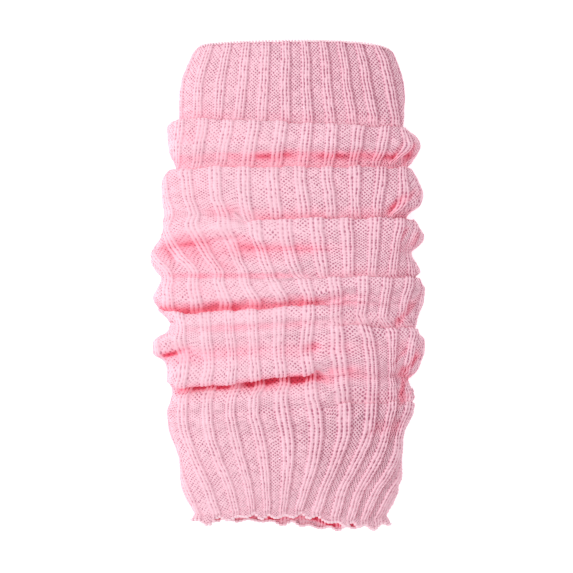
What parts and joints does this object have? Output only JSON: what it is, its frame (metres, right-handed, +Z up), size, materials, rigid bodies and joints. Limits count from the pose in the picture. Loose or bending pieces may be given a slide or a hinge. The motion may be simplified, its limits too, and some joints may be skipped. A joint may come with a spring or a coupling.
{
  "type": "leg warmer",
  "caption": "Rib-knit leg warmer, an open tube of thick pink cloth slouched into rolled folds between a plain top cuff and a drawn-in cuff with a frilled hem, laid flat.",
  "frame": {"origin": "on the surface that the leg warmer lies on, under the middle of its outline", "axes": "+Y along the tube towards the top cuff, +X across it to the right seen from above, +Z up from the surface"},
  "size_m": [0.1524, 0.27, 0.027],
  "materials": {
    "rib_knit": "pale pink acrylic yarn knitted in a 3 by 3 rib, matt, slightly fuzzy",
    "edge_yarn": "the same yarn in dense cast-on and bound-off loops, a little paler"
  },
  "bodies": {
    "root": {"ribbed_tube": "rib_knit", "top_cast_on": "edge_yarn", "hem_frill": "edge_yarn"}
  },
  "joints": []
}
